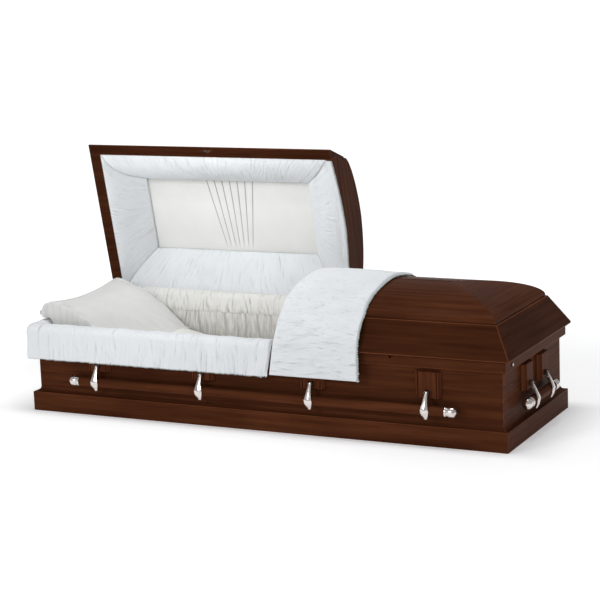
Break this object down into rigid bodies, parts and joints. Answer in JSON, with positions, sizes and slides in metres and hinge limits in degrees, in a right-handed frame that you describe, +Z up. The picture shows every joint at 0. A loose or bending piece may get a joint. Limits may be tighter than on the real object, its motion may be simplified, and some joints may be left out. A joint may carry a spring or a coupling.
{
  "type": "funeral casket",
  "caption": "Full-size dark wood casket with a two-piece domed lid, the head lid open on its gathered white lining, pillow and turned-out cloth, and swing-bar handles all round.",
  "frame": {"origin": "centre of the body's footprint on the underside of the bottom board", "axes": "+X along the length towards the foot end, -Y towards the front where the lids open, +Z up"},
  "size_m": [2.1796, 0.9, 1.0521],
  "materials": {
    "stained_wood": "dark brown stain under satin lacquer",
    "bare_wood": "sealed, unstained",
    "polished_metal": "polished",
    "hinge_metal": "plated",
    "crepe_cloth": "gathered crepe",
    "plain_cloth": "plain woven",
    "satin_cloth": "smooth satin weave"
  },
  "bodies": {
    "casket": {"bottom_board": "bare_wood", "side_panel_front": "stained_wood", "side_panel_back": "stained_wood", "end_panel_head": "stained_wood", "end_panel_foot": "stained_wood", "base_moulding_front": "stained_wood", "rim_moulding_front": "stained_wood", "handle_lug_front_1": "stained_wood", "handle_lug_front_2": "stained_wood", "handle_lug_front_3": "stained_wood", "handle_lug_front_4": "stained_wood", "base_moulding_back": "stained_wood", "rim_moulding_back": "stained_wood", "handle_lug_back_1": "stained_wood", "handle_lug_back_2": "stained_wood", "handle_lug_back_3": "stained_wood", "handle_lug_back_4": "stained_wood", "base_moulding_foot": "stained_wood", "rim_moulding_foot": "stained_wood", "handle_lug_foot_1": "stained_wood", "handle_lug_foot_2": "stained_wood", "base_moulding_head": "stained_wood", "rim_moulding_head": "stained_wood", "handle_lug_head_1": "stained_wood", "handle_lug_head_2": "stained_wood", "lock_cap": "polished_metal", "hinge_body_leaf": "hinge_metal", "mattress": "plain_cloth", "wall_lining": "crepe_cloth", "pillow": "satin_cloth", "skirt": "crepe_cloth", "back_roll": "crepe_cloth"},
    "head_lid": {"head_lid_band": "stained_wood", "head_lid_crown": "stained_wood", "head_lid_header": "stained_wood", "head_lid_cushion": "crepe_cloth", "head_lid_panel": "satin_cloth", "hinge_leaf_head_lid": "hinge_metal"},
    "foot_lid": {"foot_lid_band": "stained_wood", "foot_lid_crown": "stained_wood", "foot_lid_header": "stained_wood", "foot_lid_lining": "plain_cloth", "hinge_leaf_foot_lid": "hinge_metal", "throw": "crepe_cloth"},
    "bar_front": {"handle_bar_front": "stained_wood", "handle_arm_front_1": "polished_metal", "handle_arm_front_2": "polished_metal", "handle_arm_front_3": "polished_metal", "handle_arm_front_4": "polished_metal"},
    "bar_back": {"handle_bar_back": "stained_wood", "handle_arm_back_1": "polished_metal", "handle_arm_back_2": "polished_metal", "handle_arm_back_3": "polished_metal", "handle_arm_back_4": "polished_metal"},
    "bar_foot": {"handle_bar_foot": "stained_wood", "handle_arm_foot_1": "polished_metal", "handle_arm_foot_2": "polished_metal"},
    "bar_head": {"handle_bar_head": "stained_wood", "handle_arm_head_1": "polished_metal", "handle_arm_head_2": "polished_metal"}
  },
  "joints": [
    {"name": "head_lid_hinge", "type": "hinge", "parent": "casket", "child": "head_lid", "pos_m": [-0.485, 0.3515, 0.347], "axis": [1, 0, 0], "range_deg": [0, 77.9], "deforming": ["skirt", "pillow", "back_roll"]},
    {"name": "foot_lid_hinge", "type": "hinge", "parent": "casket", "child": "foot_lid", "pos_m": [0.583, 0.3515, 0.347], "axis": [-1, 0, 0], "range_deg": [0, 77.9]},
    {"name": "bar_front_swing", "type": "hinge", "parent": "casket", "child": "bar_front", "pos_m": [0, -0.3575, 0.211], "axis": [-1, 0, 0], "range_deg": [0, 80]},
    {"name": "bar_back_swing", "type": "hinge", "parent": "casket", "child": "bar_back", "pos_m": [0, 0.3575, 0.211], "axis": [1, 0, 0], "range_deg": [0, 80]},
    {"name": "bar_foot_swing", "type": "hinge", "parent": "casket", "child": "bar_foot", "pos_m": [1.057, 0, 0.211], "axis": [0, -1, 0], "range_deg": [0, 80]},
    {"name": "bar_head_swing", "type": "hinge", "parent": "casket", "child": "bar_head", "pos_m": [-1.057, 0, 0.211], "axis": [0, 1, 0], "range_deg": [0, 80]}
  ]
}
